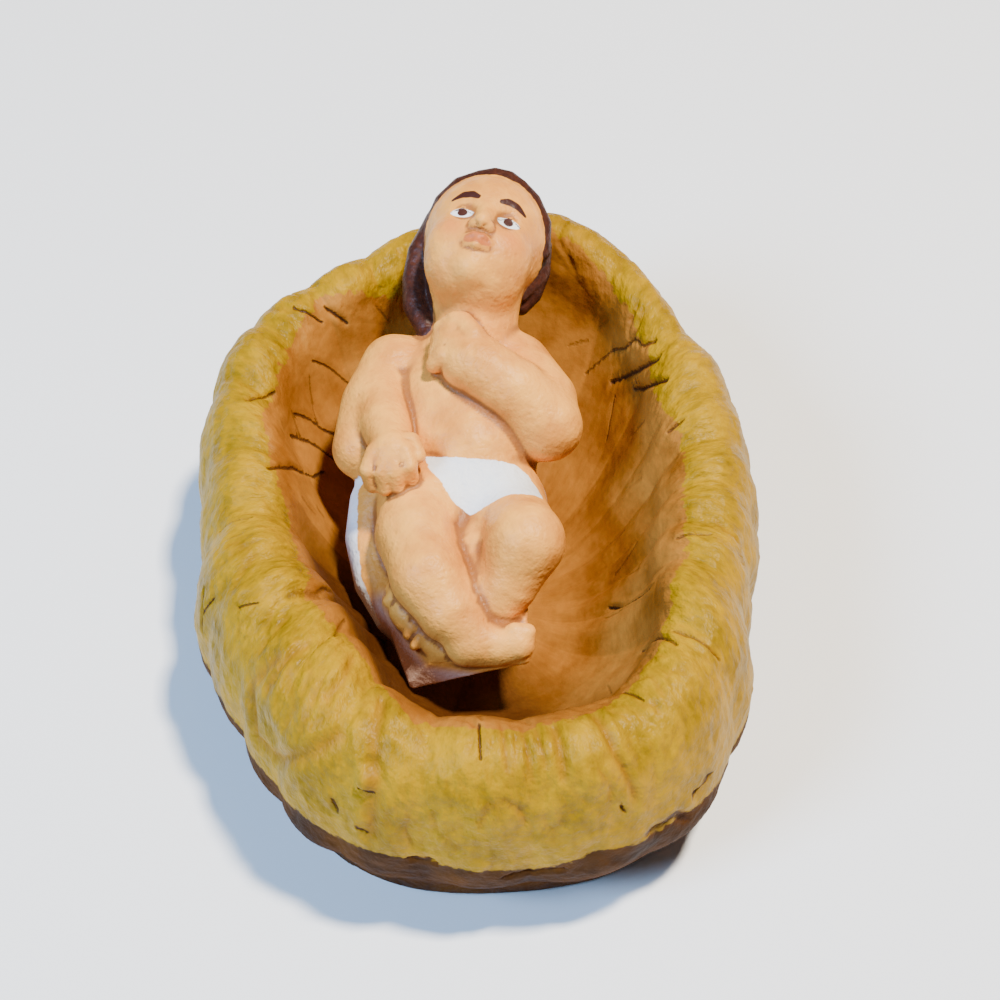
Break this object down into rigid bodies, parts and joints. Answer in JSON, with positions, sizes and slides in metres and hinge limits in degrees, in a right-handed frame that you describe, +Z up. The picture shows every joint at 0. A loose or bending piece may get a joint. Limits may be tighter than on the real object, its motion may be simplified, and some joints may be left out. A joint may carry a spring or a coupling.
{
  "type": "crib figure of an infant in a cradle",
  "caption": "Painted clay infant figure lying on its back in a nest-shaped straw cradle, loincloth, crossed ankles, one hand raised to the chin.",
  "frame": {"origin": "on the ground under the middle of the whole part's box", "axes": "+Z up, +Y along the cradle towards the infant's head, +X towards the infant's left"},
  "size_m": [0.069, 0.092, 0.0442],
  "materials": {
    "painted_straw": "painted clay, satin",
    "painted_flesh": "painted clay, satin"
  },
  "bodies": {
    "root": {"cradle": "painted_straw", "infant": "painted_flesh"}
  },
  "joints": []
}
